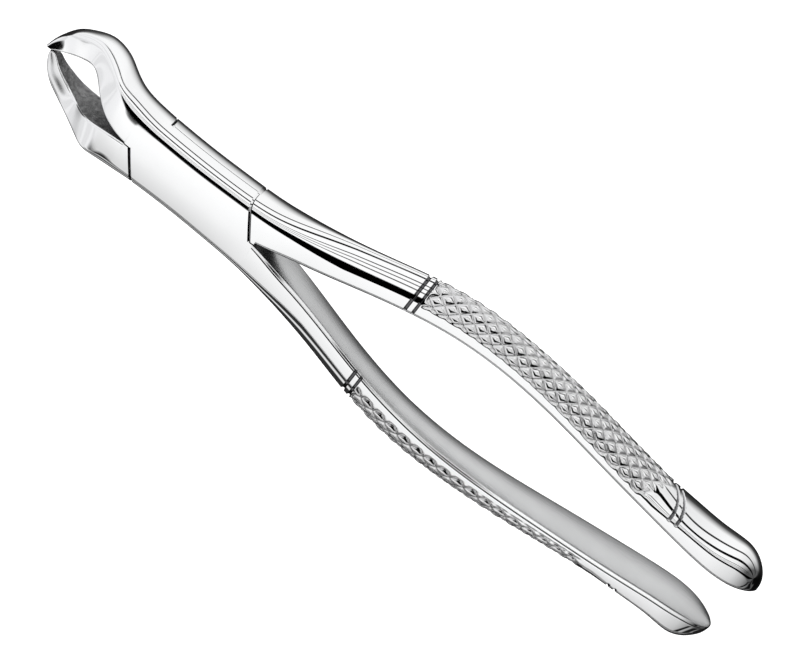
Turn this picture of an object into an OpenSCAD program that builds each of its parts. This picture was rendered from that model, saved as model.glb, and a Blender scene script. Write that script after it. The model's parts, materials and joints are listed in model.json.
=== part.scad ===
// Extraction forceps: two crossing one-piece halves in a half-thickness lap joint, turning on one
// pivot screw. X runs from the beaks to the handles, Y is the opening direction, Z the pivot axis.
// The shape is laid out from the pivot and then moved so the origin is at the bottom centre.

/* [Overall] */
// mean distance from the pivot to the ends of the handles
handle_len = 134.4; // [110:0.1:150]
// how much further the back half's handle reaches than the front half's
end_lead = 1.6; // [0:0.1:3]
// distance from the pivot to the tip of the shorter beak
beak_len = 40.2; // [30:0.1:50]
// how much further the front half's beak tip reaches than the back half's
tip_lead = 1.2; // [0:0.1:2]

/* [Beaks] */
// how far the beaks drop below the joint's middle plane
beak_drop = 6.4; // [0:0.1:12]
// widest clear gap between the closed beaks
beak_gap = 8.6; // [4:0.1:14]
// widest outside measure over the closed beaks
beak_span = 19.4; // [14:0.1:26]

/* [Joint] */
// outside width of the closed joint
joint_w = 14.8; // [10:0.1:20]
// thickness of the closed joint
joint_t = 9.5; // [6:0.1:14]
// how far the joint's crest lines stand in from its sides
crest_in = 1.8; // [1:0.1:3]
// distance from the pivot to each shoulder wall
shoulder_d = 13.1; // [11:0.1:16]
// angle between a shoulder wall and the X axis
shoulder_angle = 60; // [45:1:80]
// gap between a shoulder wall and the other half's edge
shoulder_gap = 0.3; // [0.1:0.05:0.6]
// gap between the two lap faces
lap_gap = 0.16; // [0.04:0.02:0.4]
// gap between the closed beak tips
tip_gap = 0.3; // [0.1:0.05:0.6]

/* [Handles] */
// widest clear gap between the closed handles
grip_gap = 23.7; // [16:0.1:34]
// widest outside measure over the closed handles
grip_span = 39; // [30:0.1:60]
// width of the handles' inner faces where they are widest
grip_w = 11.2; // [7:0.1:15]

/* [Pivot screw] */
// diameter of the plain shank that the back half turns on
shank_d = 5; // [3:0.1:6]
// radial running clearance round the shank
shank_fit = 0.05; // [0.01:0.01:0.1]
// diameter of the threaded end, modelled plain
thread_d = 4; // [2.5:0.1:5]
// length of the threaded end
thread_len = 3.2; // [2:0.1:3.6]
// diameter of the head
head_d = 7; // [5:0.1:9]
// height of the head
head_h = 1.5; // [1:0.1:2]
// gap round the head
head_gap = 0.15; // [0.05:0.05:0.4]
// width of the screwdriver slot
slot_w = 0.9; // [0.5:0.1:1.5]
// depth of the screwdriver slot
slot_h = 0.7; // [0.4:0.1:1]

/* [Hidden] */
$fn = 64;

steel = [0.80, 0.81, 0.83];
steel_b = [0.72, 0.74, 0.77];
screw_c = [0.60, 0.61, 0.64];

h = joint_t / 2;
lap = lap_gap / 2;
far = 60;

bk = beak_len / 40.2;                 // stretches the beak stations
hk = handle_len / 134.4;              // stretches the handle stations
gi = beak_gap / 2;                    // half gap at the beaks' widest
go = beak_span / 2;
bd = beak_drop;
yj = joint_w / 2;
yi = grip_gap / 2;
yo = grip_span / 2;
t0 = tip_gap / 2;

// Rails of the +Y arm as [station, x, y, z of the face's middle line]. Beak sections lean forward
// towards the tip, so the inner and outer rails have their own x at one station.
root_in  = [[-28.2, -26.5*bk, 0.77*gi, -0.52*bd], [-23.2, -22.7*bk, 0.38*gi, -0.17*bd],
            [-18.2, -18.2, t0 + 0.2, -0.1], [-12, -12, 0, 0]];
root_out = [[-28.2, -26.4*bk, 0.995*go, -0.64*bd], [-23.2, -22.8*bk, 0.938*go, -0.2*bd],
            [-18.2, -18.2, 8.3, -0.1], [-12, -12, yj + 0.05, 0]];
bend_in  = [[-44.2, -37.2*bk, 0.36*gi, -bd], [-41.2, -35.2*bk, 0.63*gi, -bd],
            [-37.7, -32.7*bk, 0.87*gi, -bd], [-33.2, -29.9*bk, gi, -0.9*bd]];
bend_out = [[-44.2, -39.6*bk, 0.41*go, -1.11*bd], [-41.2, -37.8*bk, 0.66*go, -1.14*bd],
            [-37.7, -35.0*bk, 0.845*go, -1.14*bd], [-33.2, -31.2*bk, 0.98*go, -1.06*bd]];
tip_in_back   = [[-48.2, -beak_len + 0.5, t0 + 0.1, -0.92*bd], [-46.7, -beak_len + 1.4, t0 + 0.2, -0.97*bd]];
tip_out_back  = [[-48.2, -beak_len, 0.7, -0.92*bd], [-46.7, -beak_len, 1.9, -1.02*bd]];
tip_in_front  = [[-48.2, -beak_len - tip_lead + 0.4, -0.6, -0.8*bd],
                 [-46.7, -beak_len + 0.5, t0 + 0.1, -0.93*bd]];
tip_out_front = [[-48.2, -beak_len - tip_lead, -0.3, -0.8*bd],
                 [-46.7, -beak_len - 0.7, 1.5, -0.95*bd]];

handle_in  = [[12, 0], [16, 0.35], [22, 1.75], [28, 3.15], [38, 0.51*yi], [48, 0.755*yi], [58, 0.928*yi],
              [68, yi], [78, 0.979*yi], [88, 0.895*yi], [98, 0.785*yi], [108, 0.675*yi], [116, 0.582*yi],
              [123, 0.515*yi], [128, 0.498*yi], [134.4, 0.498*yi]];
handle_out = [[-2, yj - 0.2], [6, yj - 0.05], [16, 8.2], [22, 9.6], [28, 11.3], [38, 0.731*yo],
              [48, 0.885*yo], [58, 0.985*yo], [68, yo], [78, 0.965*yo], [88, 0.892*yo], [98, 0.795*yo],
              [108, 0.705*yo], [116, 0.636*yo], [123, 0.634*yo], [128, 0.667*yo], [134.4, 0.677*yo]];

// Width along Z of the sections, as [station, width].
widths = [[-48.2, 1.2], [-46.7, 2.1], [-44.2, 3.1], [-41.2, 4.1], [-37.7, 5.1], [-33.2, 6.8], [-28.2, 8.8],
          [-23.2, 9.4], [-18.2, joint_t], [-12, joint_t], [10, joint_t], [12, joint_t], [16, 0.98*joint_t],
          [28, 8.2], [38, 7.5], [48, 7.4], [58, 7.5], [68, 7.9], [78, 8.5], [98, 0.92*grip_w],
          [108, 0.982*grip_w], [118, grip_w], [125, 0.973*grip_w], [134.4, 0.946*grip_w]];

// Rounded back of a section, as [station, how far its crest line stands in from the outer rail, how far the
// crest lies below full height, angle the back starts at, fullness along Y, fullness along Z].
backs = [[-48.2, 0.5, 0.05, 6, 0.6, 0.7], [-44.2, 1, 0.1, 5, 0.65, 0.7], [-33.2, 1.7, 0.12, 4, 0.68, 0.72],
         [-26, 1.9, 0.05, 5, 0.72, 0.75], [-18.2, 2, 0, 8, 0.79, 0.76],
         [-9, crest_in, 0, 8, 0.81, 0.76], [9, crest_in, 0, 8, 0.8, 0.75],
         [20, 2.8, 0.02, 9, 0.68, 0.65], [28, 4, 0.04, 11, 0.55, 0.55], [38, 5, 0.04, 12, 0.45, 0.45],
         [46, 6, 0.04, 12, 0.42, 0.42], [58, 5.9, 0.04, 12, 0.42, 0.45], [68, 5.3, 0.04, 12, 0.45, 0.5],
         [98, 3.9, 0.04, 12, 0.5, 0.5], [108, 3.2, 0.04, 13, 0.5, 0.5], [116, 1.9, 0.1, 14, 0.6, 0.55],
         [123, 2.1, 0.1, 14, 0.6, 0.55], [134.4, 2.6, 0.1, 14, 0.6, 0.55]];

// Edge of an inner face, as [station, bevel along Y, bevel along Z, crown of the face].
edges = [[-48.2, 0.1, 0.06, 0.02], [-44.2, 0.25, 0.15, 0.03], [-18.2, 0.3, 0.2, 0.04], [16, 0.5, 0.3, 0.05],
         [22, 0.8, 0.4, 0.08], [28, 0.95, 0.45, 0.12], [38, 1, 0.42, 0.16], [134.4, 1, 0.4, 0.18]];

// Where the handle ends start to round off, across the face and through the thickness.
nose_w = 11.6;
nose_t = 7.4;
nose_y = 7.0;

// Value at station s on a smooth curve through hand-set knots, whose first number is the station.
function span(k, s, i = 0) = i >= len(k) - 2 || s < k[i + 1][0] ? i : span(k, s, i + 1);
function slope(k, i) =
    let (a = max(0, i - 1), b = min(len(k) - 1, i + 1)) (k[b] - k[a]) / (k[b][0] - k[a][0]);
function at(k, s) =
    let (i = span(k, s), w = k[i + 1][0] - k[i][0], t = (s - k[i][0]) / w)
    (1 + 2*t) * (1 - t)^2 * k[i] + t * (1 - t)^2 * w * slope(k, i)
    + t^2 * (3 - 2*t) * k[i + 1] + t^2 * (t - 1) * w * slope(k, i + 1);

function nose(s, l, p = 2) = let (t = max(0, (s - 134.4 + l) / l)) max(0.01, 1 - t^p)^(1 / p);
function ease(lo, hi, s) = let (t = min(1, max(0, (s - lo) / (hi - lo)))) t * t * (3 - 2*t);

// Where a handle station lies along X.
function reach(s, front) = s * hk + (front ? -1 : 1) * end_lead / 2 * ease(108, 134.4, s);

// Inner and outer rail of the +Y arm: [x, y, z].
function inner(s, front) = s <= -12
    ? let (q = at(concat(front ? tip_in_front : tip_in_back, bend_in, root_in), s)) [q[1], q[2], q[3]]
    : s < 12 ? [s, 0, 0]
    : let (q = at(handle_in, s)) [reach(s, front), nose_y + (q[1] - nose_y) * nose(s, nose_t), 0];
function outer(s, front) = s <= -12
    ? let (q = at(concat(front ? tip_out_front : tip_out_back, bend_out, root_out, [handle_out0]), s))
        [q[1], q[2], q[3]]
    : let (q = at(concat([[-12, yj + 0.05]], handle_out), s))
        [s < 12 ? s : reach(s, front), nose_y + (q[1] - nose_y) * nose(s, nose_t), 0];
handle_out0 = [-2, -2, yj - 0.2, 0];

function width(s) = at(widths, s)[1] * max(0.12, nose(s, nose_w, 2.1));

function flip(p) = [p[0], -p[1], p[2]];

// Half of one end of an outline, from the middle of the rail to the flank: [distance from the rail, height].
arc = 6;
function quad(a, b, c, q) = (1 - q)^2 * a + 2*q*(1 - q) * b + q^2 * c;
function cubic(a, b, c, d, q) = (1 - q)^3 * a + 3*q*(1 - q)^2 * b + 3*q^2*(1 - q) * c + q^3 * d;
function inner_end(t, hw, e) =
    let (bt = min(e[1], t * 0.2), bz = min(e[2], hw * 0.3), c = min(e[3], t * 0.05), he = hw - bz)
    concat([for (k = [0:3]) [c * (k / 3)^2, he * k / 3]],
        [for (k = [1:arc - 2]) quad([c, he], [c + (bt - c) * 0.4, hw - bz * 0.35], [bt, hw], k / (arc - 2))]);
function outer_end(t, hw, b) =
    let (deep = min(b[1], t * 0.55), top = hw - max(0, min(b[2], hw * 0.2)), run = b[4] * deep)
    [for (k = [0:arc + 1])
        cubic([deep, top], [deep - run*cos(b[3]), top - run*sin(b[3])], [0, b[5]*top], [0, 0],
            1 - k / (arc + 1))];

// One closed outline between an upper and a lower rail point, w wide along Z. Each end is either a flat
// inner face with bevelled edges or a rounded back.
function ring(up, lo, w, up_flat, lo_flat, s) =
    let (d = up - lo, t = norm([d[0], d[1]]), hw = w / 2, b = at(backs, s), e = at(edges, s),
         a = lo_flat ? inner_end(t, hw, e) : outer_end(t, hw, b),
         c = up_flat ? inner_end(t, hw, e) : outer_end(t, hw, b),
         al = a[arc + 1], cu = c[arc + 1],
         mid = [(al[0] + t - cu[0]) / 2, lo_flat || up_flat ? (al[1] + cu[1]) / 2 + 0.03 : hw],
         half = concat(a, [mid], [for (k = [arc + 1:-1:0]) [t - c[k][0], c[k][1]]]),
         n = len(half),
         loop = concat(half, [for (k = [n - 2:-1:1]) [half[k][0], -half[k][1]]]))
    [for (q = loop) lo + d * (q[0] / t) + [0, 0, q[1]]];

// Rings of one half from beak tip to handle end. The beak lies at +Y and the handle at -Y.
// Through the joint both rails are outer ones; the lap cuts take away what isn't this half's.
function half_ring(s, front) =
    s < -16 ? ring(outer(s, front), inner(s, front), width(s), false, true, s)
    : s < 16 ? ring(outer(s, front), flip(outer(s, front)), width(s), false, false, s)
    : ring(flip(inner(s, front)), flip(outer(s, front)), width(s), true, false, s);

stations = concat([for (s = [-48.2:1:-24]) s], [for (s = [-23.7:1.5:-17]) s], [-16.3, -15.7],
    [for (s = [-13:3.25:13]) s], [15.7, 16.3], [for (s = [18:2.6:122]) s],
    [for (a = [8:8:88]) 134.4 - nose_w + nose_w * sin(a) / sin(88)]);

module sweep(rings) {
    n = len(rings[0]);
    m = len(rings);
    polyhedron(
        points = [for (r = rings) for (p = r) p],
        faces = concat(
            [[for (k = [0:n - 1]) k]],
            [for (i = [0:m - 2]) for (k = [0:n - 1])
                let (a = i * n + k, b = i * n + (k + 1) % n) each [[a, a + n, b], [b, a + n, b + n]]],
            [[for (k = [n - 1:-1:0]) (m - 1) * n + k]]));
}

// A point on a shoulder wall that stands d from the pivot, at height y.
nx = sin(shoulder_angle);
ny = cos(shoulder_angle);
function wall(d, y, side = 1) = [(d - side * ny * y) / nx, y];

d_own = shoulder_d - shoulder_gap / 2;
d_other = shoulder_d + shoulder_gap / 2;

// What the other half's full-height beak and handle take, on this half's own side of the lap.
module lap_own() {
    for (r = [0, 180]) rotate(r)
        polygon([[far*3, -t0], wall(d_own, -t0), wall(d_own, far), [far*3, far]]);
}

// What the other half's plate takes, across the lap.
module lap_other() {
    polygon([[-far*3, t0], -wall(d_other, -t0, -1), -wall(d_other, -far, -1), [far*3, far], [far*3, -t0],
             wall(d_other, -t0, -1), wall(d_other, -far, -1), [-far*3, -far]]);
}

module front_raw() {
    difference() {
        sweep([for (s = stations) half_ring(s, true)]);
        translate([0, 0, lap - 0.01]) linear_extrude(far) lap_own();
        translate([0, 0, lap - far]) linear_extrude(far) lap_other();
        translate([0, 0, -1]) cylinder(d = thread_d, h = thread_len + 0.3 + 1 + lap);
    }
}

module back_raw() {
    head_floor = -h + head_h + 0.15;
    difference() {
        sweep([for (s = stations) let (r = half_ring(s, false)) [for (k = [len(r) - 1:-1:0]) flip(r[k])]]);
        mirror([0, 1, 0]) translate([0, 0, -lap + 0.01 - far]) linear_extrude(far) lap_own();
        mirror([0, 1, 0]) translate([0, 0, -lap]) linear_extrude(far) lap_other();
        rotate_extrude() polygon([[0, -h - 1], [head_d/2 + head_gap, -h - 1],
            [head_d/2 + head_gap, head_floor], [shank_d/2 + shank_fit, head_floor],
            [shank_d/2 + shank_fit, 1], [0, 1]]);
    }
}

module screw_raw() {
    head_z = -h + 0.1;
    difference() {
        union() {
            translate([0, 0, head_z]) cylinder(d = head_d, h = head_h);
            translate([0, 0, head_z]) cylinder(d = shank_d, h = lap - head_z);
            translate([0, 0, head_z]) cylinder(d = thread_d, h = lap - head_z + thread_len);
        }
        translate([-head_d, -slot_w/2, head_z - 1]) cube([head_d*2, slot_w, slot_h + 1]);
    }
}

// Moves the pivot so that the whole part's box has its bottom centre at the origin.
all_points = [for (f = [true, false]) for (s = stations) if (s < -24 || s > 120) each half_ring(s, f)];
x_low = min([for (p = all_points) p[0]]);
x_high = max([for (p = all_points) p[0]]);
z_low = min([for (p = all_points) p[2]]);
pivot = [-(x_low + x_high) / 2, 0, -z_low];

module front_half() color(steel) translate(pivot) front_raw();
module back_half() color(steel_b) translate(pivot) back_raw();
module pivot_screw() color(screw_c) translate(pivot) screw_raw();

front_half();
back_half();
pivot_screw();
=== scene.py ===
"""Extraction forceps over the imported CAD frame: two polished forgings that cross in a lap joint, and
their pivot screw.

The shape code works in millimetres from the pivot: X towards the handles, Y the opening direction and Z the
pivot's axis. Each half is one sweep of outlines from beak tip to handle end, cut to its half of the joint.
"""

import json
import math

import bmesh
import bpy
import numpy as np
from mathutils import Matrix, Vector


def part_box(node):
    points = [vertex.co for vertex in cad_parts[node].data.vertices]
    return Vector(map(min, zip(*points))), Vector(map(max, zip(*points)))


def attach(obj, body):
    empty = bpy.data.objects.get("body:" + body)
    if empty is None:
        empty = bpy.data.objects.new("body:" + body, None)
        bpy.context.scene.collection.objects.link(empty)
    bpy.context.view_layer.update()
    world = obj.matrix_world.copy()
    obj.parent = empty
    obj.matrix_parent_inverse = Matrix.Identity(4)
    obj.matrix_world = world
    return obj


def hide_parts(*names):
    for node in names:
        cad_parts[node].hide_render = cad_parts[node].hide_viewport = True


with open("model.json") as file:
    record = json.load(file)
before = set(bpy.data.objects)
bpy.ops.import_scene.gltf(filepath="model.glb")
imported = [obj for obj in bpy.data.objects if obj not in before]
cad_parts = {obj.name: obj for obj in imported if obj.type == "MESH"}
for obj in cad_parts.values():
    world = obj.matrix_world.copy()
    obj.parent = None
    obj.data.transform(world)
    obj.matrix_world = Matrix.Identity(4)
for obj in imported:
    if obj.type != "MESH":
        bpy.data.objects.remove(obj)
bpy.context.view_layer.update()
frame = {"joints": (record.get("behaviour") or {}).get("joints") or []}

MM = 0.001
JOINT_T = 9.5            # thickness of the closed joint
HALF_T = JOINT_T / 2
LAP = 0.08               # half the gap between the lap faces
TIP_GAP = 0.15           # half the gap between the closed beaks
WALL_D = 13.1            # distance from the pivot to a shoulder wall
WALL_GAP = 0.15          # half the gap at a shoulder wall
WALL_N = np.array([math.sin(math.radians(60)), math.cos(math.radians(60))])
HANDLE_END = 134.4       # mean distance from the pivot to the handle ends
JOINT_END = 16           # stations from -16 to 16 have the joint's outline, with two rounded backs
LEAD = {"front": -0.8, "back": 0.8}          # how much further each half's handle reaches than the mean
FLIP = np.array([1, -1, 1])                  # mirrors points across the XZ plane
FAR = 60.0                                   # beyond everything that a cut has to reach

# material slots of a half, in the order of HALF_MATERIALS
POLISHED, SATIN, GRIPPING, KNURLED, LAPPED, BEAK = range(6)
BEAK_FROM = -20.4        # station at which the joint's mirror polish ends and the beak's softer one starts

SCREW_SUNK = 0.1         # how far the screw's head lies below the back
screw_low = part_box("pivot_screw")[0][2] / MM
PIVOT = np.array([frame["joints"][0]["pos_m"][0] / MM, 0.0, screw_low + HALF_T - SCREW_SUNK])


# ---------------------------------------------------------------- curves
class Curve:
    """Smooth curve through given knots [station, value, ...], with continuous curvature."""

    def __init__(self, knots):
        k = np.array(knots, float)
        self.x, v = k[:, 0], k[:, 1:]
        n = len(self.x)
        h = np.diff(self.x)
        a, b = np.zeros((n, n)), np.zeros_like(v)
        a[0, 0] = a[-1, -1] = 1
        for i in range(1, n - 1):
            a[i, i - 1:i + 2] = h[i - 1], 2 * (h[i - 1] + h[i]), h[i]
            b[i] = 6 * ((v[i + 1] - v[i]) / h[i] - (v[i] - v[i - 1]) / h[i - 1])
        self.v, self.m, self.h = v, np.linalg.solve(a, b), h

    def __call__(self, s):
        s = np.clip(np.atleast_1d(s).astype(float), self.x[0], self.x[-1])
        i = np.clip(np.searchsorted(self.x, s, side="right") - 1, 0, len(self.x) - 2)
        h = self.h[i][:, None]
        a = (self.x[i + 1] - s)[:, None] / h
        b = 1 - a
        return (a * self.v[i] + b * self.v[i + 1]
                + ((a ** 3 - a) * self.m[i] + (b ** 3 - b) * self.m[i + 1]) * h ** 2 / 6)


def smoothstep(lo, hi, x):
    t = np.clip((x - lo) / (hi - lo), 0, 1)
    return t * t * (3 - 2 * t)


# Rails of the +Y arm. Beak rows: station, x, y, z of the face's middle line. Handle rows: station, y.
BEND_IN = [[-44.2, -37.2, 1.55, -6.4], [-41.2, -35.2, 2.7, -6.4], [-37.7, -32.7, 3.75, -6.4],
           [-33.2, -29.9, 4.3, -5.8], [-28.2, -26.5, 3.3, -3.3], [-23.2, -22.7, 1.6, -1.1],
           [-18.2, -18.2, 0.35, -0.1], [-12, -12, 0, 0], [-8, -8, 0, 0]]
BEND_OUT = [[-44.2, -39.6, 4.0, -7.1], [-41.2, -37.8, 6.4, -7.22], [-37.7, -35.0, 8.2, -7.22],
            [-33.2, -31.2, 9.5, -6.74], [-28.2, -26.4, 9.65, -4.1], [-23.2, -22.8, 9.1, -1.3],
            [-18.2, -18.2, 8.3, -0.1], [-12, -12, 7.45, 0], [-8, -8, 7.2, 0]]
TIP_IN = {"back": [[-48.2, -39.7, 0.25, -5.9], [-46.7, -38.8, 0.35, -6.2]],
          "front": [[-48.2, -41.0, -0.6, -5.1], [-46.7, -39.7, 0.25, -5.95]]}
TIP_OUT = {"back": [[-48.2, -40.2, 0.7, -5.9], [-46.7, -40.2, 1.9, -6.5]],
           "front": [[-48.2, -41.39, -0.3, -5.1], [-46.7, -40.9, 1.5, -6.1]]}
HANDLE_IN = Curve([[12, 0], [16, 0.35], [22, 1.75], [28, 3.15], [38, 6.05], [48, 8.95], [58, 11.0],
                   [68, 11.85], [78, 11.6], [88, 10.6], [98, 9.3], [108, 8.0], [116, 6.9], [123, 6.1],
                   [128, 5.9], [134.4, 5.9]])
# Outer side of the joint and handles: station, y.
SIDE_OUT = Curve([[-12, 7.45], [-8, 7.3], [-2, 7.2], [6, 7.35], [16, 8.2], [22, 9.6], [28, 11.3], [38, 14.25],
                  [48, 17.25], [58, 19.2], [68, 19.48], [78, 18.8], [88, 17.4], [98, 15.5], [108, 13.75],
                  [116, 12.4], [123, 12.35], [128, 13.0], [134.4, 13.2]])
# Width of the sections along Z: station, width.
WIDTH = Curve([[-48.2, 1.2], [-46.7, 2.1], [-44.2, 3.1], [-41.2, 4.1], [-37.7, 5.1], [-33.2, 6.8],
               [-28.2, 8.8], [-23.2, 9.4], [-18.2, 9.5], [-9, 9.5], [0, 9.5], [9, 9.5], [16, 9.3],
               [28, 8.2], [38, 7.5], [48, 7.4], [58, 7.5], [68, 7.9], [78, 8.5], [98, 10.3],
               [108, 11.0], [118, 11.16], [125, 10.9], [134.4, 10.6]])
# Back of the section: station, how far the crest line stands in from the outer rail, how far it lies below
# full height, the angle the back starts at, and how full the curve is along Y and along Z.
BACK = Curve([[-48.2, 0.5, 0.05, 6, 0.6, 0.7], [-44.2, 1.0, 0.1, 5, 0.65, 0.7],
              [-33.2, 1.4, 0.12, 4, 0.68, 0.72], [-26.0, 1.3, 0.12, 4, 0.72, 0.75],
              [-22.8, 1.4, 0.22, 6, 0.75, 0.76], [-19.5, 2.2, 0.36, 7, 0.77, 0.75],
              [-15, 2.1, 0.35, 7, 0.78, 0.74], [-9, 1.9, 0.31, 7, 0.78, 0.73],
              [0, 1.9, 0.3, 7, 0.78, 0.73], [9, 1.95, 0.28, 7, 0.78, 0.73],
              [20, 2.8, 0.15, 9, 0.68, 0.65], [28, 4.0, 0.06, 12, 0.55, 0.55],
              [38, 5.0, 0.04, 14, 0.46, 0.46], [46, 5.8, 0.04, 15, 0.44, 0.44],
              [58, 5.9, 0.04, 14, 0.42, 0.45], [68, 5.3, 0.04, 12, 0.45, 0.5],
              [78, 4.8, 0.04, 12, 0.46, 0.5], [98, 3.9, 0.04, 12, 0.5, 0.5],
              [108, 3.2, 0.05, 13, 0.5, 0.5], [116, 1.9, 0.1, 14, 0.6, 0.55],
              [123, 2.1, 0.1, 14, 0.6, 0.55], [134.4, 2.6, 0.1, 14, 0.6, 0.55]])
# Edge of the inner face: station, bevel along Y and along Z, and how much the face is crowned.
EDGE = Curve([[-48.2, 0.1, 0.06, 0.02], [-44.2, 0.25, 0.15, 0.03], [-18.2, 0.3, 0.2, 0.04],
              [16, 0.5, 0.3, 0.05], [22, 0.8, 0.4, 0.1], [28, 0.95, 0.46, 0.2], [38, 1.0, 0.42, 0.3],
              [98, 1.0, 0.4, 0.36], [134.4, 1.0, 0.4, 0.36]])
NOSE_W, NOSE_T, NOSE_Y = 11.6, 7.4, 7.0      # where the handle ends round off, and the nose's Y


def nose(s, length, power=2.0):
    """Share of the full size left at station s where the handle ends round off."""
    t = np.clip((s - HANDLE_END + length) / length, 0, 1)
    return np.maximum(1 - t ** power, 0.0025) ** (1 / power)


def rails(s, side):
    """Inner and outer rail points of the +Y arm at stations s."""
    beak_in, beak_out = Curve(TIP_IN[side] + BEND_IN)(s), Curve(TIP_OUT[side] + BEND_OUT)(s)
    f = nose(s, NOSE_T)
    zero = np.zeros_like(s)
    x = s + LEAD[side] * smoothstep(108, HANDLE_END, s)
    arm_in = np.stack([x, NOSE_Y + (HANDLE_IN(s)[:, 0] - NOSE_Y) * f, zero], -1)
    arm_in[s < 14, 1] = 0
    arm_out = np.stack([x, NOSE_Y + (SIDE_OUT(s)[:, 0] - NOSE_Y) * f, zero], -1)
    is_beak = (s < -12)[:, None]
    return np.where(is_beak, beak_in, arm_in), np.where(is_beak, beak_out, arm_out)


END, MID = 54, 12                        # points round one end of half an outline, and between the ends
HALF_POINTS = 2 * END + MID + 1
FACE, SOFT = 11, 7                        # of an end's points: on a flat face, and round one soft edge


def bend(a, b, c, n):
    """n points of a quadratic curve from a towards c with corner b; c itself is left out."""
    return [tuple(a[i] * (1 - q) ** 2 + 2 * b[i] * q * (1 - q) + c[i] * q * q for i in (0, 1))
            for q in (k / n for k in range(n))]


def inner_end(t, hw, edge):
    """Half a flat inner face, its edge and bevel: (distance from the rail, height), middle first."""
    bt, bz, crown = np.minimum(edge[0], t * 0.2), np.minimum(edge[1], hw * 0.3), np.minimum(edge[2], t * 0.07)
    size = np.hypot(bt - crown, bz)
    r1, r2 = np.minimum(0.12, size * 0.35), np.minimum(0.28, size * 0.4)
    ux, uz = (bt - crown) / size, bz / size
    e, f = (crown, hw - bz), (bt, hw)
    a, b = (crown * 0.92, e[1] - r1), (e[0] + ux * r1, e[1] + uz * r1)
    c, d = (f[0] - ux * r2, f[1] - uz * r2), (f[0] + r2, f[1])
    pts = [(a[0] * (k / FACE) ** 2, a[1] * k / FACE) for k in range(FACE)]
    pts += bend(a, e, b, SOFT)
    left = END - FACE - 2 * SOFT
    pts += [(b[0] + (c[0] - b[0]) * k / left, b[1] + (c[1] - b[1]) * k / left) for k in range(left)]
    return pts + bend(c, f, d, SOFT), d


def outer_end(t, hw, back, slope):
    """Half a rounded back up to its crest line: (distance from the rail, height), middle first."""
    deep = np.minimum(back[0], t * 0.55)
    top = hw - np.minimum(back[1], hw * 0.2)
    a0 = np.radians(back[2])
    run = back[3] * deep
    p0, p1, p2 = (deep, top), (deep - run * np.cos(a0), top - run * np.sin(a0)), (0 * t, back[4] * top)
    r = np.minimum(0.22, deep * 0.15)
    q0 = r / (3 * run)
    pts, n = [], END - SOFT
    for k in range(n + 1):
        q = 1 - (1 - q0) * k / n
        pts.append(tuple(p0[i] * (1 - q) ** 3 + 3 * p1[i] * q * (1 - q) ** 2 + 3 * p2[i] * q * q * (1 - q)
                         for i in (0, 1)))
    m = (deep + r, top + slope * r)
    return pts[:-1] + bend(pts[-1], p0, m, SOFT), m


def half_outline(t, hw, edge, back, lo_inner, up_inner):
    """Half an outline from the lower rail's middle to the upper rail's: (t, w) at every station."""
    joint = not (lo_inner or up_inner)
    backs = 2 if joint else 1
    slope = 2 * backs * back[1] / np.maximum(t - backs * back[0], 1)
    ends = [inner_end(t, hw, edge) if flat else outer_end(t, hw, back, slope)
            for flat in (lo_inner, up_inner)]
    (lo, m_lo), (up, m_up) = ends
    a, b = m_lo, (t - m_up[0], m_up[1])
    rise = np.maximum(0, hw - a[1])
    mid = []
    for q in (k / MID for k in range(MID + 1)):
        z = (a[1] + rise * 4 * q * (1 - q) if joint else a[1] + (b[1] - a[1]) * q * q if lo_inner
             else b[1] + (a[1] - b[1]) * (1 - q) ** 2)
        mid.append((a[0] + (b[0] - a[0]) * q, z))
    pts = lo + mid + [(t - d, w) for d, w in up[::-1]]
    return np.array([p[0] for p in pts]), np.array([p[1] for p in pts])      # (points, stations)


def outline(up, lo, w, edge, back, lo_inner, up_inner):
    """Closed outlines at every station: array (stations, points, 3)."""
    d = up - lo
    t = np.hypot(d[:, 0], d[:, 1])
    tt, ww = half_outline(t, w / 2, edge, back, lo_inner, up_inner)
    tt = np.concatenate([tt, tt[1:-1][::-1]])
    ww = np.concatenate([ww, -ww[1:-1][::-1]])
    p = lo[None] + d[None] * (tt / t)[..., None]
    p[..., 2] += ww
    return p.transpose(1, 0, 2)


def half_points(s, side):
    """Outline points of one half, beak at +Y and handle at -Y, at all stations."""
    pin, pout = rails(s, side)
    w = WIDTH(s)[:, 0] * np.maximum(0.06, nose(s, NOSE_W, 2.1))
    edge, back = EDGE(s).T, BACK(s).T
    beak, handle = s < -JOINT_END, s >= JOINT_END
    groups = [(beak, pout, pin, True, False), (~beak & ~handle, pout, pout * FLIP, False, False),
              (handle, pin * FLIP, pout * FLIP, False, True)]
    rows = np.zeros((len(s), 2 * HALF_POINTS - 2, 3))
    for pick, up, lo, lo_inner, up_inner in groups:
        rows[pick] = outline(up[pick], lo[pick], w[pick], edge[:, pick], back[:, pick], lo_inner, up_inner)
    return rows


def spaced(lo, hi, step):
    return np.linspace(lo, hi, max(2, int(round((hi - lo) / step)) + 1))[:-1]


STATIONS = np.concatenate([
    spaced(-48.2, -40, 0.2), spaced(-40, -22.6, 0.3), spaced(-22.6, -19.6, 0.1),             # beak
    spaced(-19.6, -17, 0.3), spaced(-17, -15.5, 0.25), spaced(-15.5, 15.5, 0.5),             # joint
    spaced(15.5, 17, 0.25), spaced(17, 46.4, 0.45), spaced(46.4, 49.4, 0.1),                 # to the rings
    spaced(49.4, 110, 0.2), spaced(110, 116, 0.12), spaced(116, HANDLE_END - NOSE_W, 0.4),   # grip
    HANDLE_END - NOSE_W + NOSE_W * np.sin(np.radians(np.linspace(0, 90, 46)))])              # rounded end


# ---------------------------------------------------------------- detail on the handles
PITCH_X, PITCH_U, KNURL_DEPTH = 3.4, 2.8, 0.42
KNURL_FROM, KNURL_TO = 49.2, 108.2
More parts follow.
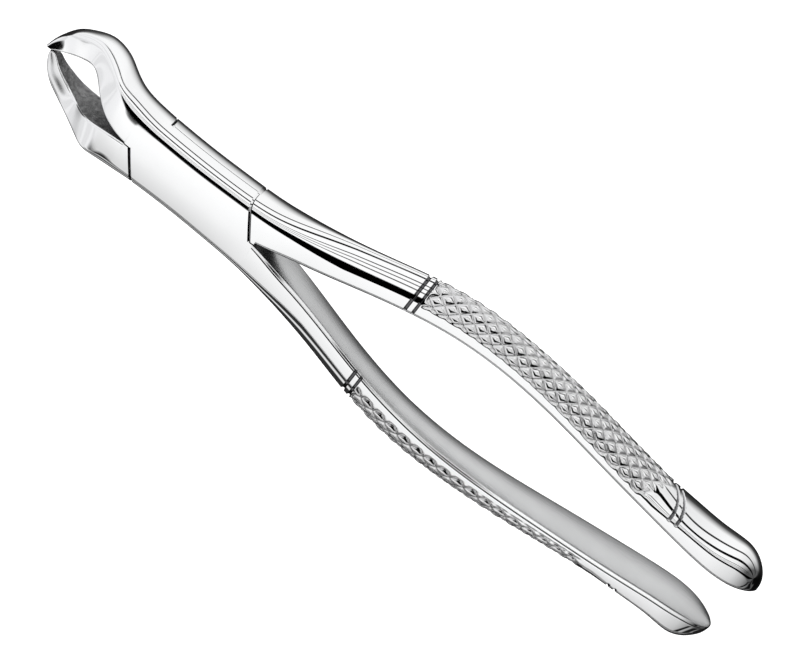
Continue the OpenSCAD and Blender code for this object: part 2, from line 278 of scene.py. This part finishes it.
# how far past the crest line the knurl starts, on the +Z and on the -Z side
BAND = {"front": (-0.8, -0.2), "back": (-0.2, -0.8)}
RING_DEPTH, END_RING_DEPTH, END_RING_HALF = 0.45, 0.4, 0.3
RINGS = [(47.1, 0.33), (48.75, 0.30)]                # groove centre and half width
END_RINGS = [109.6, 111.3]


def outward(p):
    """Unit normals of closed outlines, from their tangents across and along the sweep."""
    across = np.roll(p, -1, axis=1) - np.roll(p, 1, axis=1)
    along = np.gradient(p, axis=0)
    n = np.cross(along, across)
    return n / np.maximum(np.linalg.norm(n, axis=2, keepdims=True), 1e-9)


def knurl(x, u):
    """Height from 0 in the cuts to 1 on the crests of a diamond knurl."""
    a, b = x / PITCH_X + u / PITCH_U, x / PITCH_X - u / PITCH_U
    ridge_a, ridge_b = np.abs(np.mod(a, 1) - 0.5) * 2, np.abs(np.mod(b, 1) - 0.5) * 2
    return 1 - np.maximum(ridge_a, ridge_b) ** 2.2


def detail(p, s, side):
    """Depth to take off the surface, and how much of a vertex is knurl."""
    seg = np.linalg.norm(np.roll(p, -1, axis=1) - p, axis=2)
    arc = np.concatenate([np.zeros((len(s), 1)), np.cumsum(seg, axis=1)[:, :-1]], axis=1)
    total = seg.sum(axis=1, keepdims=True)
    u = np.where(arc > total / 2, arc - total, arc)          # from the outer middle line, + towards +Z
    from_crest = arc[:, END:END + 1] - np.abs(u)             # + on the back, - on the flat beside it
    room = arc[:, HALF_POINTS - 1 - FACE:HALF_POINTS - FACE] - np.abs(u)      # to the inner face's edge
    plus, minus = BAND[side]
    band = np.where(u > 0, plus, minus)
    x = s[:, None] + 0 * u
    mask = (smoothstep(KNURL_FROM, KNURL_FROM + 0.25, x) * smoothstep(band - 0.15, band + 0.35, from_crest)
            * (1 - smoothstep(KNURL_TO - 1.6, KNURL_TO + 1.6, x + 0.5 * u)))
    cut = KNURL_DEPTH * (1 - knurl(x, u)) * mask
    skin = smoothstep(0.1, 0.4, room)
    for at_x, half in RINGS:
        cut += RING_DEPTH * np.clip(1 - ((x - at_x) / half) ** 2, 0, 1) ** 0.4 * skin
    curl = 2.9 * (1 - (1 - np.clip((u + 2.5) / 8, 0, 1)) ** 2)     # the end rings sweep back round the handle
    for at_x in END_RINGS:
        cut += (END_RING_DEPTH * np.clip(1 - ((x - curl - at_x) / END_RING_HALF) ** 2, 0, 1) ** 0.4 * skin
                * smoothstep(0, 0.4, from_crest))
    return cut, mask


# ---------------------------------------------------------------- meshes
def new_object(name, verts, faces, *materials):
    mesh = bpy.data.meshes.new(name)
    mesh.from_pydata(verts, [], faces)
    for mat in materials:
        mesh.materials.append(mat)
    ob = bpy.data.objects.new(name, mesh)
    bpy.context.scene.collection.objects.link(ob)
    return ob


def grid_mesh(name, p, materials, face_mat, cut):
    """Closed tube from outlines p (stations, points, 3), with faces' materials and points' cut depths."""
    m, n = p.shape[:2]
    i, j = np.meshgrid(np.arange(m - 1), np.arange(n), indexing="ij")
    k = (j + 1) % n
    quads = np.stack([i * n + j, (i + 1) * n + j, (i + 1) * n + k, i * n + k], -1).reshape(-1, 4)
    caps = [list(range(n)), list(range((m - 1) * n, m * n))[::-1]]
    ob = new_object(name, p.reshape(-1, 3).tolist(), quads.tolist() + caps, *materials)
    ids = np.concatenate([face_mat.reshape(-1), [POLISHED, POLISHED]]).astype(np.int32)
    ob.data.polygons.foreach_set("material_index", ids)
    # the cut depths also set the painted shade that darkens the cuts in the steel materials
    att = ob.data.attributes.new("cut_depth", "FLOAT", "POINT")
    att.data.foreach_set("value", cut.reshape(-1).astype(np.float32))
    return ob


def prism(name, outline2d, z0, z1, mat):
    """Straight prism over an outline in the XY plane."""
    n = len(outline2d)
    z0, z1 = min(z0, z1), max(z0, z1)
    area = sum(a[0] * b[1] - b[0] * a[1] for a, b in zip(outline2d[-1:] + outline2d[:-1], outline2d))
    if area < 0:
        outline2d = outline2d[::-1]
    verts = [(x, y, z) for z in (z0, z1) for x, y in outline2d]
    faces = [list(range(n))[::-1], list(range(n, 2 * n))]
    faces += [[k, (k + 1) % n, n + (k + 1) % n, n + k] for k in range(n)]
    return new_object(name, verts, faces, mat)


def lathe(name, profile, mat, steps=96):
    """Closed turned solid from a profile of (radius, z) that starts and ends on the axis."""
    inner = profile[1:-1]
    verts = [(0, 0, profile[0][1])]
    for r, z in inner:
        verts += [(r * math.cos(2 * math.pi * k / steps), r * math.sin(2 * math.pi * k / steps), z)
                  for k in range(steps)]
    verts.append((0, 0, profile[-1][1]))
    last = len(verts) - 1
    faces = [[0, 1 + (k + 1) % steps, 1 + k] for k in range(steps)]
    for i in range(len(inner) - 1):
        a, b = 1 + i * steps, 1 + (i + 1) * steps
        faces += [[a + k, a + (k + 1) % steps, b + (k + 1) % steps, b + k] for k in range(steps)]
    a = 1 + (len(inner) - 1) * steps
    faces += [[a + k, a + (k + 1) % steps, last] for k in range(steps)]
    return new_object(name, verts, faces, mat)


def cut_away(ob, tool):
    """Subtracts tool from ob for good; the cut faces take the tool's material."""
    mod = ob.modifiers.new("cut", "BOOLEAN")
    mod.operation, mod.object, mod.solver, mod.material_mode = "DIFFERENCE", tool, "EXACT", "TRANSFER"
    bpy.context.view_layer.update()
    done = bpy.data.meshes.new_from_object(ob.evaluated_get(bpy.context.evaluated_depsgraph_get()))
    ob.modifiers.clear()
    old, ob.data = ob.data, done
    bpy.data.meshes.remove(old)
    bpy.data.objects.remove(tool)


def wall_point(d, y, lean):
    """Where a shoulder wall d from the pivot passes height y; lean is +1 or -1 for its slope."""
    return ((d - lean * WALL_N[1] * y) / WALL_N[0], y)


def own_side(turn):
    """Plan of what the other half takes beyond one shoulder wall, on this half's own side of the lap."""
    d = WALL_D - WALL_GAP
    pts = [(3 * FAR, -TIP_GAP), wall_point(d, -TIP_GAP, 1), wall_point(d, FAR, 1), (3 * FAR, FAR)]
    return [(turn * x, turn * y) for x, y in pts]


def other_side():
    """Plan of what the other half's plate takes across the lap."""
    d = WALL_D + WALL_GAP
    near, far = wall_point(d, -TIP_GAP, -1), wall_point(d, -FAR, -1)
    return [(-3 * FAR, TIP_GAP), (-near[0], -near[1]), (-far[0], -far[1]), (3 * FAR, FAR),
            (3 * FAR, -TIP_GAP), near, far, (-3 * FAR, -FAR)]


def place(ob):
    """From millimetres about the pivot to metres in the shared frame."""
    n = len(ob.data.vertices)
    co = np.empty(n * 3, np.float32)
    ob.data.vertices.foreach_get("co", co)
    co = (co.reshape(-1, 3) + PIVOT) * MM
    ob.data.vertices.foreach_set("co", co.astype(np.float32).reshape(-1))
    ob.data.update()


def sharpen(ob, degrees):
    """Smooth shading, with edges past an angle kept sharp."""
    mesh = ob.data
    mesh.polygons.foreach_set("use_smooth", np.ones(len(mesh.polygons), bool))
    mesh.set_sharp_from_angle(angle=math.radians(degrees))


def build_half(side, mats):
    s = STATIONS
    p = half_points(s, side)
    cut, mask = detail(p, s, side)
    n = outward(p)
    p = p - n * cut[..., None]
    m, k = p.shape[:2]
    face = np.full((m - 1, k), POLISHED)
    j = np.arange(k)
    flat = FACE + SOFT // 2
    on_lower = (j < flat) | (j >= k - flat)
    on_upper = (j >= HALF_POINTS - 1 - flat) & (j < HALF_POINTS - 1 + flat)
    mid = (s[:-1] + s[1:]) / 2
    face[np.ix_(mid > JOINT_END, on_upper)] = SATIN
    face[np.ix_(mid < -JOINT_END, on_lower)] = GRIPPING
    face[(mask[:-1] + mask[1:]) / 2 > 0.5] = KNURLED
    face[(mid < BEAK_FROM)[:, None] & (face == POLISHED)] = BEAK
    ob = grid_mesh(side + "_forging", p, mats, face, cut)
    up = 1 if side == "front" else -1          # the lap plate lies at +Z on the front half
    for turn in (1, -1):
        cut_away(ob, prism("tool", own_side(turn), up * (LAP - 0.01), up * FAR, mats[LAPPED]))
    cut_away(ob, prism("tool", other_side(), -up * FAR, up * LAP, mats[LAPPED]))
    return ob


# ---------------------------------------------------------------- shoulder grooves and the screw
GROOVE_W, GROOVE_D = 0.55, 0.42          # half width and depth of the V along a shoulder line
ROD_TOP = 0.6                            # how far the rod that cuts the V stands above the skin


def joint_skin(x, q):
    """Point of the joint's upper outline at station x; q runs from the +Z middle (0) to the side (1)."""
    s = np.atleast_1d(x).astype(float)
    po = np.stack([s, SIDE_OUT(s)[:, 0], 0 * s], -1)
    p = outline(po, po * FLIP, WIDTH(s)[:, 0], EDGE(s).T, BACK(s).T, False, False)[0]
    k = (HALF_POINTS - 1) / 2 * (1 + q)
    i = int(min(k, HALF_POINTS - 2))
    return p[i] + (p[i + 1] - p[i]) * (k - i)


def groove_path(turn, steps=46):
    """Shoulder line over the joint's surface, from the crotch to the parting line, on the +Z side."""
    path = []
    for q in np.linspace(0, 1, steps):
        x = turn * WALL_D
        for _ in range(6):
            y = turn * joint_skin(x, q)[1]
            x = (turn * WALL_D - WALL_N[1] * y) / WALL_N[0]
        z = joint_skin(x, q)[2]
        path.append((x, y, z))
    return np.array(path)


def groove_tool(turn, face, mat):
    """Diamond rod along one shoulder line, on the +Z side (face 1) or turned to the -Z side (face -1)."""
    path = groove_path(turn)
    tangent = np.gradient(path, axis=0)
    tangent /= np.linalg.norm(tangent, axis=1, keepdims=True)
    wall = np.array([WALL_N[0], WALL_N[1], 0.0])
    up = np.cross(tangent, wall) * -turn
    up /= np.linalg.norm(up, axis=1, keepdims=True)
    up *= np.sign(np.sum(up * path * [0, 1, 1], axis=1, keepdims=True))
    path = np.concatenate([path, path[-1:] + tangent[-1:] * 0.4])
    up = np.concatenate([up, up[-1:]])
    rows = np.stack([path + wall * GROOVE_W, path + up * ROD_TOP, path - wall * GROOVE_W,
                     path - up * GROOVE_D], 1)
    rows = rows * np.array([1, face, face])
    m = len(rows)
    faces = [[i * 4 + k, i * 4 + (k + 1) % 4, (i + 1) * 4 + (k + 1) % 4, (i + 1) * 4 + k]
             for i in range(m - 1) for k in range(4)] + [[3, 2, 1, 0], [(m - 1) * 4 + k for k in range(4)]]
    ob = new_object("tool", rows.reshape(-1, 3).tolist(), faces, mat)
    bm = bmesh.new()
    bm.from_mesh(ob.data)
    bmesh.ops.recalc_face_normals(bm, faces=bm.faces)
    bm.to_mesh(ob.data)
    bm.free()
    return ob


# The screw's head, shank and thread. Its radii are smaller than its holes' by 0.15, 0.05 and 0.02.
HEAD_R, HEAD_T, SHANK_R = 3.5, 1.5, 2.5
THREAD_R, ROOT_R, THREAD_PITCH, THREAD_LONG = 1.98, 1.72, 0.5, 3.0
SLOT_HALF, SLOT_DEPTH = 0.45, 0.7


def build_screw(mat):
    """Pivot screw: slotted head on the back, plain shank, threaded end in the front half."""
    low, r = -HALF_T + SCREW_SUNK, HEAD_R
    profile = [(0, low), (r - 0.35, low), (r - 0.12, low + 0.06), (r, low + 0.22), (r, low + HEAD_T - 0.08),
               (r - 0.08, low + HEAD_T), (SHANK_R, low + HEAD_T), (SHANK_R, LAP - 0.01), (2.0, LAP)]
    z = LAP
    while z < LAP + THREAD_LONG:
        profile += [(ROOT_R, z + 0.12), (ROOT_R, z + 0.18), (THREAD_R, z + 0.38), (THREAD_R, z + 0.42)]
        z += THREAD_PITCH
    profile += [(1.6, LAP + 3.2), (0, LAP + 3.2)]
    ob = lathe("pivot_screw_detail", profile, mat)
    slot = [(-5, -SLOT_HALF), (5, -SLOT_HALF), (5, SLOT_HALF), (-5, SLOT_HALF)]
    cut_away(ob, prism("tool", slot, low - 1, low + SLOT_DEPTH, mat))
    return ob


# ---------------------------------------------------------------- materials
class Nodes:
    """Small helper to lay out a node tree."""

    def __init__(self, tree):
        self.tree = tree
        tree.nodes.clear()

    def add(self, kind, inputs=(), **props):
        n = self.tree.nodes.new(kind)
        for key, value in props.items():
            setattr(n, key, value)
        for key, value in dict(inputs).items():
            if isinstance(value, bpy.types.NodeSocket):
                self.tree.links.new(value, n.inputs[key])
            else:
                n.inputs[key].default_value = value
        return n

    def math(self, op, a, b=0.0, clamp=False):
        return self.add("ShaderNodeMath", {0: a, 1: b}, operation=op, use_clamp=clamp).outputs[0]

    def ramp(self, fac, stops, mode="LINEAR"):
        n = self.add("ShaderNodeValToRGB", {"Fac": fac})
        n.color_ramp.interpolation = mode
        while len(n.color_ramp.elements) < len(stops):
            n.color_ramp.elements.new(1.0)
        for e, (pos, col) in zip(n.color_ramp.elements, stops):
            e.position = pos
            e.color = (*(col if isinstance(col, tuple) else (col,) * 3), 1)
        return n.outputs["Color"]

    def mix(self, fac, a, b, **props):
        node = self.add("ShaderNodeMix", {"Factor": fac, "A": a, "B": b}, data_type="RGBA", **props)
        return node.outputs["Result"]

    def span(self, value, lo, hi):
        return self.add("ShaderNodeMapRange", {"Value": value, "To Min": lo, "To Max": hi}).outputs["Result"]


def metal(name, base, rough, fine_scale, stretch, bump, mottle=0.0, painted_cut_shade=None, rough_amp=0.04, depth=0.03,
          patch_scale=140.0):
    """Steel with fine grain, patchy roughness and a little tone change.

    stretch below 1 draws the grain out into polishing lines along X. A shade pair, when given, paints shade
    into the cuts: the depth in millimetres at which a cut reaches its darkest painted shade, and the colour
    of that shade.
    """
    mat = bpy.data.materials.new(name)
    mat.use_nodes = True
    t = Nodes(mat.node_tree)
    where = t.add("ShaderNodeTexCoord").outputs["Object"]
    lines = t.add("ShaderNodeMapping", {"Vector": where, "Scale": stretch})
    grain = t.add("ShaderNodeTexNoise", {"Vector": lines.outputs[0], "Scale": fine_scale, "Detail": 6.0,
                                         "Roughness": 0.6})
    patch = t.add("ShaderNodeTexNoise", {"Vector": where, "Scale": patch_scale, "Detail": 4.0,
                                         "Roughness": 0.55})
    both = t.math("ADD", *(t.math("MULTIPLY", n.outputs["Fac"], 0.5) for n in (grain, patch)))
    rough_out = t.span(both, rough - rough_amp, rough + rough_amp)
    dark = tuple(c * (1 - mottle) for c in base)
    color = t.ramp(patch.outputs["Fac"], [(0.3, dark), (0.7, base)])
    # painted shade: the deeper a point's cut, the darker its colour, standing in for the shade inside knurl
    # cuts and grooves
    if painted_cut_shade:
        att = t.add("ShaderNodeAttribute", attribute_name="cut_depth")
        deep = t.math("MULTIPLY", att.outputs["Fac"], 1 / painted_cut_shade[0], clamp=True)
        color = t.mix(deep, color, (*painted_cut_shade[1], 1))
    bumped = t.add("ShaderNodeBump", {"Height": grain.outputs["Fac"], "Strength": bump,
                                      "Distance": depth * MM})
    shader = t.add("ShaderNodeBsdfPrincipled", {"Base Color": color, "Roughness": rough_out,
                                                "Normal": bumped.outputs[0]})
    shader.inputs["Metallic"].default_value = 1.0
    t.add("ShaderNodeOutputMaterial", {"Surface": shader.outputs[0]})
    return mat


# mirror_steel paints a near-black shade into the grooves and cuts in it, darkest from 0.38 mm deep
polished = metal("mirror_steel", (0.95, 0.955, 0.96), rough=0.045, fine_scale=900.0, stretch=(0.12, 1, 1),
                 bump=0.015, mottle=0.02, rough_amp=0.015, painted_cut_shade=(0.38, (0.12, 0.12, 0.125)))
satin = metal("satin_inner_face", (0.66, 0.665, 0.67), rough=0.22, fine_scale=2600.0, stretch=(0.05, 1, 1),
              bump=0.5, mottle=0.08)
gripping = metal("rough_gripping_face", (0.50, 0.50, 0.505), rough=0.45, fine_scale=1500.0, stretch=(1, 1, 1),
                 bump=1.0, mottle=0.6, rough_amp=0.12, depth=0.25, patch_scale=1000.0)
# knurled_grip paints a grey shade into its knurl cuts, darker the deeper the cut
knurled = metal("knurled_grip", (0.96, 0.96, 0.965), rough=0.1, fine_scale=1500.0, stretch=(1, 1, 1),
                bump=0.25, mottle=0.1, painted_cut_shade=(0.6, (0.55, 0.55, 0.555)))
lapped = metal("ground_lap_face", (0.62, 0.62, 0.63), rough=0.28, fine_scale=1800.0, stretch=(0.06, 1, 1),
               bump=0.5, mottle=0.1)
turned = metal("turned_screw_steel", (0.66, 0.665, 0.68), rough=0.22, fine_scale=1800.0, stretch=(1, 1, 1),
               bump=0.3, mottle=0.06)
beak_steel = metal("polished_beak", (0.97, 0.975, 0.98), rough=0.1, fine_scale=900.0, stretch=(1, 1, 1),
                   bump=0.05, mottle=0.03, rough_amp=0.03)
HALF_MATERIALS = [polished, satin, gripping, knurled, lapped, beak_steel]


# ---------------------------------------------------------------- build
def finish_half(side):
    ob = build_half(side, HALF_MATERIALS)
    for turn in (1, -1):
        cut_away(ob, groove_tool(turn, 1, polished))
        cut_away(ob, groove_tool(turn, -1, polished))
    if side == "front":
        cut_away(ob, lathe("tool", [(0, -1), (2.0, -1), (2.0, LAP + 3.5), (0, LAP + 3.9)], lapped))
    else:
        ob.data.transform(Matrix.Diagonal((1, -1, 1, 1)))
        ob.data.flip_normals()
        bore = [(0, -HALF_T - 1), (3.95, -HALF_T - 1), (3.65, -HALF_T + 0.3), (3.65, -HALF_T + 1.65),
                (2.55, -HALF_T + 1.65), (2.55, 1), (0, 1)]
        cut_away(ob, lathe("tool", bore, lapped))
    place(ob)
    sharpen(ob, 40)
    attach(ob, side)
    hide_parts(side + "_half")


finish_half("front")
finish_half("back")
screw = build_screw(turned)
place(screw)
sharpen(screw, 35)
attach(screw, "front")
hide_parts("pivot_screw")


# ---------------------------------------------------------------- studio
# Sky brightness by angle round the X axis in degrees: 0 overhead, positive towards +Y.
SKY = [(-180, 0.02), (-90, 0.03), (-87, 0.8), (-80, 0.8), (-78, 0.03), (-62, 0.03), (-60, 0.85), (-56, 0.9),
       (-50, 0.7), (-44, 0.82), (-36, 0.98), (-24, 1.08), (80, 1.05), (146, 1.0), (156, 0.4), (163, 0.08),
       (175, 0.03)]
# Black strips in the sky, from and to, in two groups that each fit one colour ramp.
STRIPS = [[(-55, -52), (-21, 12), (22, 24), (33, 36), (46, 50)], [(78, 92), (121, 126)]]
STRIP_EDGE = 0.6
# The sky darkens towards +X, and fills with even light towards -X, by half of (1 + direction's X).
SKY_X = [(0.5, 1.0), (0.65, 0.85), (0.75, 0.75), (0.85, 0.4), (0.93, 0.1)]
FILL_X = [(0.2, 0.85), (0.28, 0.0)]
FILL_TURN = [(-116, 0), (-100, 1), (132, 1), (148, 0)]


def by_angle(pairs):
    """Ramp stops from (degrees, value) pairs."""
    return [((w + 180) / 360, v) for w, v in pairs]


def make_sky():
    """Plain studio sky in long soft bands; the camera itself sees white."""
    world = bpy.data.worlds.new("studio")
    bpy.context.scene.world = world
    world.use_nodes = True
    t = Nodes(world.node_tree)
    way = t.add("ShaderNodeSeparateXYZ", {0: t.add("ShaderNodeTexCoord").outputs["Generated"]})
    turn = t.math("ARCTAN2", way.outputs[1], way.outputs[2])
    fac = t.math("ADD", t.math("DIVIDE", turn, 2 * math.pi), 0.5)
    along = t.math("ADD", t.math("MULTIPLY", way.outputs[0], 0.5), 0.5)
    color = t.ramp(fac, by_angle(SKY))
    darker = []
    for group in STRIPS:
        edges = [pair for lo, hi in group
                 for pair in ((lo - STRIP_EDGE, 1), (lo, 0), (hi, 0), (hi + STRIP_EDGE, 1))]
        darker.append(t.ramp(fac, [(0, 1)] + by_angle(edges)))
    for other in (*darker, t.ramp(along, SKY_X)):
        color = t.mix(1.0, color, other, blend_type="MULTIPLY")
    fill = t.math("MULTIPLY", t.ramp(along, FILL_X), t.ramp(fac, by_angle(FILL_TURN)))
    color = t.mix(fill, color, (0.92, 0.92, 0.93, 1))
    seen = t.add("ShaderNodeLightPath").outputs["Is Camera Ray"]
    light = t.add("ShaderNodeBackground", {"Color": t.mix(seen, color, (1, 1, 1, 1)), "Strength": 1.0})
    t.add("ShaderNodeOutputWorld", {"Surface": light.outputs[0]})


def make_floor():
    """White floor, left out of reflections so that the steel mirrors only the sky."""
    mat = bpy.data.materials.new("pale_floor")
    mat.use_nodes = True
    f = Nodes(mat.node_tree)
    diffuse = f.add("ShaderNodeBsdfDiffuse", {"Color": (0.95, 0.95, 0.95, 1)})
    glow = f.add("ShaderNodeEmission", {"Color": (1, 1, 1, 1), "Strength": 1.0})
    both = f.add("ShaderNodeAddShader", {0: diffuse.outputs[0], 1: glow.outputs[0]})
    f.add("ShaderNodeOutputMaterial", {"Surface": both.outputs[0]})
    floor = new_object("floor", [(-2, -2, 0), (2, -2, 0), (2, 2, 0), (-2, 2, 0)], [[0, 1, 2, 3]], mat)
    floor.visible_glossy = False
    floor.location.z = -0.0002


def camera():
    """Looks down on the joint's front face from the +Y side, with the handles running down to the right."""
    lift, roll = math.radians(35), math.radians(38.3)
    to_cam = Vector((0, math.sin(lift), math.cos(lift)))
    right = Vector((math.cos(roll), math.sin(roll) * math.cos(lift), -math.sin(roll) * math.sin(lift)))
    up = to_cam.cross(right)
    distance, field = 0.60, 0.1578
    middle = (Vector(PIVOT.tolist()) + Vector((49.3, 1.6 * math.cos(lift), -1.6 * math.sin(lift)))) * MM
    data = bpy.data.cameras.new("camera")
    data.sensor_width = 36
    data.lens = 36 * distance / field
    data.clip_start, data.clip_end = 0.01, 20
    cam = bpy.data.objects.new("camera", data)
    bpy.context.scene.collection.objects.link(cam)
    cam.matrix_world = Matrix((
        (right.x, up.x, to_cam.x, middle.x + to_cam.x * distance),
        (right.y, up.y, to_cam.y, middle.y + to_cam.y * distance),
        (right.z, up.z, to_cam.z, middle.z + to_cam.z * distance),
        (0, 0, 0, 1)))
    bpy.context.scene.camera = cam


bpy.context.scene.view_settings.view_transform = "Standard"
make_sky()
make_floor()
camera()
